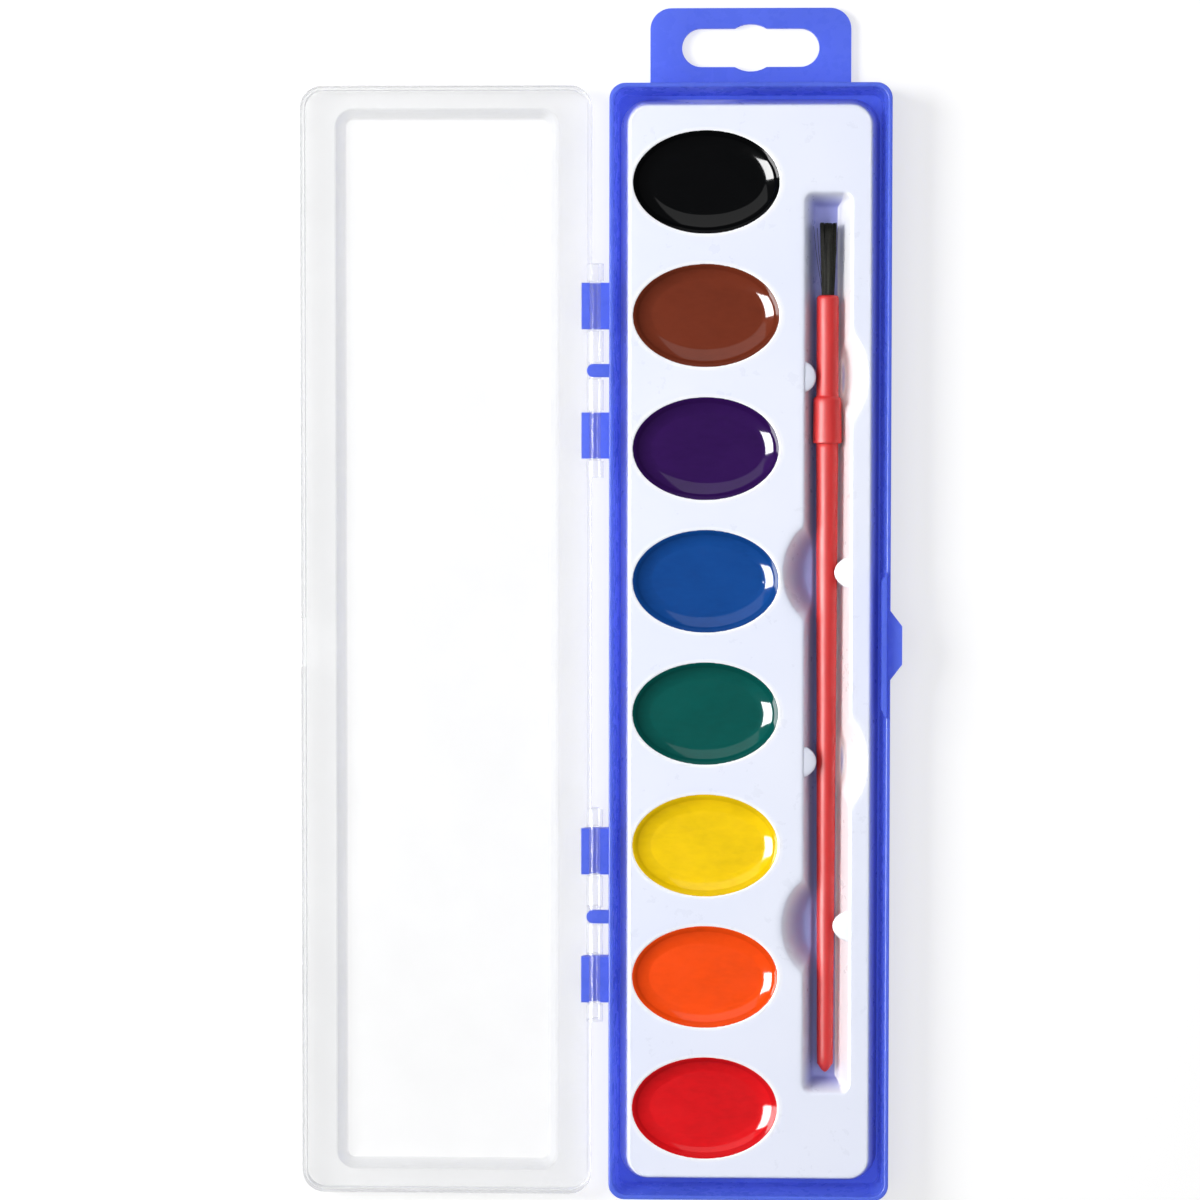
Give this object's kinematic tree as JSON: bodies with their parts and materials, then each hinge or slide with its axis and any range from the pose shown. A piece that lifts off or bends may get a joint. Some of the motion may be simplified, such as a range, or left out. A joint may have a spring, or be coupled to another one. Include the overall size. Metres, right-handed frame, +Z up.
{
  "type": "watercolour paint set",
  "caption": "Long hinged case with a clear lid, a lift-out tray of oval paint cakes, a child's brush in its groove and a hang tab.",
  "frame": {"origin": "centre of the case's flat underside, without the hang tab, hinge and thumb tab", "axes": "+X towards the latch side, +Y towards the hang tab, +Z up; the lid lies open towards -X"},
  "size_m": [0.114, 0.2257, 0.0115],
  "materials": {
    "case_blue": "glossy moulded polypropylene",
    "lid_clear": "clear moulded plastic, slightly frosted",
    "tray_white": "semi-gloss formed sheet",
    "paint_black": "dried watercolour cake with a glossy skin",
    "paint_brown": "dried watercolour cake with a glossy skin",
    "paint_purple": "dried watercolour cake with a glossy skin",
    "paint_blue": "dried watercolour cake with a glossy skin",
    "paint_green": "dried watercolour cake with a glossy skin",
    "paint_yellow": "dried watercolour cake with a glossy skin",
    "paint_orange": "dried watercolour cake with a glossy skin",
    "paint_red": "dried watercolour cake with a glossy skin",
    "brush_red": "glossy moulded plastic",
    "bristle_black": "dark hair with a soft sheen"
  },
  "bodies": {
    "case": {"base_case": "case_blue"},
    "lid": {"lid": "lid_clear"},
    "tray": {"paint_tray": "tray_white", "paint_black": "paint_black", "paint_brown": "paint_brown", "paint_purple": "paint_purple", "paint_blue": "paint_blue", "paint_green": "paint_green", "paint_yellow": "paint_yellow", "paint_orange": "paint_orange", "paint_red": "paint_red"},
    "brush": {"brush_handle": "brush_red", "brush_ferrule": "brush_red", "brush_bristles": "bristle_black"}
  },
  "joints": [
    {"name": "lid_hinge", "type": "hinge", "parent": "case", "child": "lid", "pos_m": [-0.0292, 0, 0.00752], "axis": [0, 1, 0], "range_deg": [0, 180]},
    {"name": "tray_lift", "type": "slide", "parent": "case", "child": "tray", "axis": [0, 0, 1], "range_m": [0, 0.04]},
    {"name": "brush_lift", "type": "slide", "parent": "tray", "child": "brush", "axis": [0, 0, 1], "range_m": [0, 0.04]}
  ]
}
